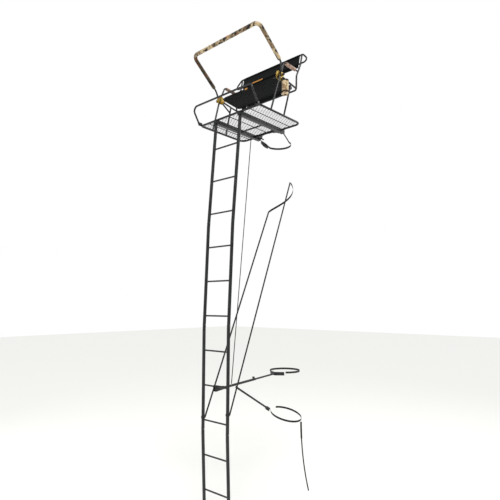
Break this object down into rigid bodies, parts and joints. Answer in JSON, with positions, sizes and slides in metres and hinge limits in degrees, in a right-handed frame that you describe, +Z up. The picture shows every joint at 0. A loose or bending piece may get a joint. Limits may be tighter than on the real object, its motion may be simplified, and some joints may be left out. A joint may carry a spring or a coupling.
{
  "type": "ladder tree stand",
  "caption": "Sectional ladder stand for a tree: platform with sling seat and backrest, padded flip-up rail, fold-back footrest, telescoping trunk brace and ratchet straps.",
  "frame": {"origin": "on the ground under the middle of the footprint, the loose end of the lower strap left out", "axes": "+Z up, +X to the right of a climber who faces the trunk, +Y from the climber towards the trunk"},
  "size_m": [1.195, 1.5509, 6.0248],
  "materials": {
    "black_powder_coat": "satin black powder coat on welded steel tube",
    "yellow_zinc": "yellow passivated zinc plate",
    "zinc_steel": "zinc plated steel",
    "black_plastic": "moulded black nylon",
    "camo_foam": "printed camouflage cover over a foam tube",
    "camo_fabric": "printed camouflage cover over closed-cell foam",
    "black_sling": "tight woven black polyester",
    "black_webbing": "flat woven black webbing"
  },
  "bodies": {
    "stand": {"ladder_top": "black_powder_coat", "ladder_upper_middle": "black_powder_coat", "ladder_lower_middle": "black_powder_coat", "ladder_bottom": "black_powder_coat", "ladder_bolt_1_left": "zinc_steel", "ladder_bolt_1_right": "zinc_steel", "ladder_bolt_2_left": "zinc_steel", "ladder_bolt_2_right": "zinc_steel", "ladder_bolt_3_left": "zinc_steel", "ladder_bolt_3_right": "zinc_steel", "platform_frame": "black_powder_coat", "floor_grid": "black_powder_coat", "tree_bracket": "black_powder_coat", "front_post_left": "black_powder_coat", "front_post_right": "black_powder_coat", "rear_leg_left": "black_powder_coat", "rear_leg_right": "black_powder_coat", "side_brace_left": "black_powder_coat", "side_brace_right": "black_powder_coat", "seat_support": "black_powder_coat", "hub_plate_inner_left": "yellow_zinc", "hub_plate_inner_right": "yellow_zinc", "hub_plate_outer_left": "yellow_zinc", "hub_plate_outer_right": "yellow_zinc", "back_frame": "black_powder_coat", "back_sling": "black_sling", "armrest_left": "black_powder_coat", "armrest_right": "black_powder_coat", "arm_pad_left": "camo_foam", "arm_pad_right": "camo_foam", "cup_holder": "camo_fabric", "footrest_bolt_left": "zinc_steel", "footrest_bolt_right": "zinc_steel", "seat_clip_left": "black_plastic", "seat_clip_right": "black_plastic", "bar_outer": "black_powder_coat", "bar_clamp": "black_powder_coat", "bar_cord": "black_webbing", "bar_strap": "black_webbing", "trunk_strap": "black_webbing", "strap_tail": "black_webbing", "stabiliser_strap": "black_webbing", "platform_strap": "black_webbing", "upper_ratchet_frame": "black_powder_coat", "lower_ratchet_frame": "black_powder_coat"},
    "shooting_rail": {"shooting_rail": "black_powder_coat", "rail_pad": "camo_foam"},
    "clamp_knob_left": {"clamp_knob_left": "black_plastic"},
    "clamp_knob_right": {"clamp_knob_right": "black_plastic"},
    "footrest": {"footrest": "black_powder_coat"},
    "seat": {"seat_frame": "black_powder_coat", "seat_sling": "black_sling"},
    "bar_slide": {"bar_inner": "black_powder_coat", "trunk_cradle": "black_powder_coat", "cradle_strap": "black_webbing"},
    "bar_knob": {"bar_knob": "black_plastic"},
    "upper_ratchet_handle": {"upper_ratchet_handle": "black_powder_coat"},
    "lower_ratchet_handle": {"lower_ratchet_handle": "black_powder_coat"}
  },
  "joints": [
    {"name": "shooting_rail_pivot", "type": "hinge", "parent": "stand", "child": "shooting_rail", "pos_m": [0, -0.1859, 5.564], "axis": [1, 0, 0], "range_deg": [-80, 40]},
    {"name": "footrest_pivot", "type": "hinge", "parent": "stand", "child": "footrest", "pos_m": [0, -0.5609, 5.131], "axis": [1, 0, 0], "range_deg": [-92, 0]},
    {"name": "seat_flip", "type": "hinge", "parent": "stand", "child": "seat", "pos_m": [0, 0.1241, 5.534], "axis": [1, 0, 0], "range_deg": [-85, 0]},
    {"name": "bar_telescope", "type": "slide", "parent": "stand", "child": "bar_slide", "axis": [0, 0.9979, 0.0645], "range_m": [-0.3, 0.1]},
    {"name": "clamp_knob_left_turn", "type": "hinge", "parent": "stand", "child": "clamp_knob_left", "pos_m": [-0.505, -0.1859, 5.564], "axis": [-1, 0, 0], "range_deg": [0, 720]},
    {"name": "clamp_knob_right_turn", "type": "hinge", "parent": "stand", "child": "clamp_knob_right", "pos_m": [0.505, -0.1859, 5.564], "axis": [1, 0, 0], "range_deg": [0, 720]},
    {"name": "bar_knob_turn", "type": "hinge", "parent": "stand", "child": "bar_knob", "pos_m": [0, -0.0883, 1.9539], "axis": [0, -0.0645, 0.9979], "range_deg": [0, 720]},
    {"name": "upper_ratchet_lever", "type": "hinge", "parent": "stand", "child": "upper_ratchet_handle", "pos_m": [-0.1994, 0.3433, 5.0461], "axis": [0, 0.3769, 0.9262], "range_deg": [0, 120]},
    {"name": "lower_ratchet_lever", "type": "hinge", "parent": "stand", "child": "lower_ratchet_handle", "pos_m": [-0.1729, 0.3737, 1.5032], "axis": [0.172, 0.4809, 0.8598], "range_deg": [0, 120]}
  ]
}
